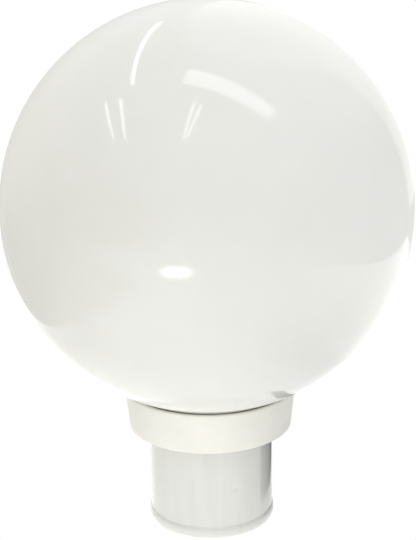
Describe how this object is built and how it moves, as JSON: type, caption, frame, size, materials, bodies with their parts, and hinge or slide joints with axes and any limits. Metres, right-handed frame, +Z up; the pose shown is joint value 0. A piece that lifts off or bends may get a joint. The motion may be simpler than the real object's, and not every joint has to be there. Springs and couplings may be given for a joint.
{
  "type": "lighted fence post cap",
  "caption": "Lighted cap for a round fence post: opal globe screwed into a cream collar, on a white sleeve with a beaded mouth that slips over the post.",
  "frame": {"origin": "centre of the sleeve's open mouth, where the post enters", "axes": "+Z up along the post's axis to the top of the globe, -Y the front, +X to the right seen from the front"},
  "size_m": [0.2539, 0.254, 0.333],
  "materials": {
    "opal_acrylic": "blow-moulded, glossy, milky white",
    "cream_plastic": "injection-moulded, satin gloss, off-white",
    "white_powder_coat": "white gloss powder coat on spun aluminium",
    "black_rubber": "moulded EPDM, matt",
    "grey_foam": "closed-cell foam, matt",
    "zinc_steel": "bright zinc plated",
    "green_steel": "green dyed zinc plate",
    "porcelain": "white glaze",
    "brass": "plain stamped",
    "tinned_copper": "tinned",
    "nylon": "natural nylon",
    "black_insulation": "PVC",
    "white_insulation": "PVC",
    "green_insulation": "PVC",
    "solder": "soldered, dull",
    "black_glass": "fused glass",
    "nickel_brass": "nickel plated, rolled",
    "white_housing": "moulded PBT",
    "circuit_board": "glass-epoxy with solder mask",
    "dark_parts": "moulded and sleeved components",
    "board_aluminium": "white solder mask on aluminium",
    "phosphor": "yellow phosphor on emitters",
    "opal_diffuser": "frosted polycarbonate"
  },
  "bodies": {
    "post_cap": {"collar": "cream_plastic", "collar_gasket": "grey_foam", "post_sleeve": "white_powder_coat", "stop_plate": "zinc_steel", "collar_washers": "zinc_steel", "collar_screws": "zinc_steel", "cable_grommet": "black_rubber", "holder_bracket": "zinc_steel", "bracket_screw": "zinc_steel", "ground_screw": "green_steel", "ground_ring": "tinned_copper", "lampholder_body": "porcelain", "holder_screws": "zinc_steel", "lampholder_shell": "brass", "lampholder_contact": "brass", "lampholder_terminals": "brass", "terminal_screws": "zinc_steel", "terminal_block": "nylon", "block_screws": "zinc_steel", "clamp_tubes": "brass", "clamp_screws": "zinc_steel", "live_lead": "black_insulation", "neutral_lead": "white_insulation", "ground_lead": "green_insulation"},
    "seal": {"neck_seal": "black_rubber"},
    "globe": {"globe": "opal_acrylic", "globe_neck": "opal_acrylic"},
    "tip": {"bulb_tip": "solder"},
    "bulb": {"bulb_insulator": "black_glass", "bulb_cap": "nickel_brass", "bulb_body": "white_housing", "bulb_driver_board": "circuit_board", "bulb_driver_parts": "dark_parts", "bulb_led_board": "board_aluminium", "bulb_leds": "phosphor", "bulb_diffuser": "opal_diffuser"}
  },
  "joints": [
    {"name": "globe_rise", "type": "slide", "parent": "post_cap", "child": "seal", "axis": [0, 0, 1], "range_m": [0, 0.0075]},
    {"name": "globe_turn", "type": "hinge", "parent": "seal", "child": "globe", "pos_m": [0, 0, 0.2], "axis": [0, 0, 1], "range_deg": [0, 451]},
    {"name": "bulb_rise", "type": "slide", "parent": "post_cap", "child": "tip", "axis": [0, 0, 1], "range_m": [0, 0.00907]},
    {"name": "bulb_turn", "type": "hinge", "parent": "tip", "child": "bulb", "pos_m": [0, 0, 0.15], "axis": [0, 0, 1], "range_deg": [0, 901]}
  ],
  "couplings": [
    {"joint": "globe_turn", "follows": "globe_rise", "rad_per_m": 1047.2},
    {"joint": "bulb_turn", "follows": "bulb_rise", "rad_per_m": 1731.6}
  ]
}
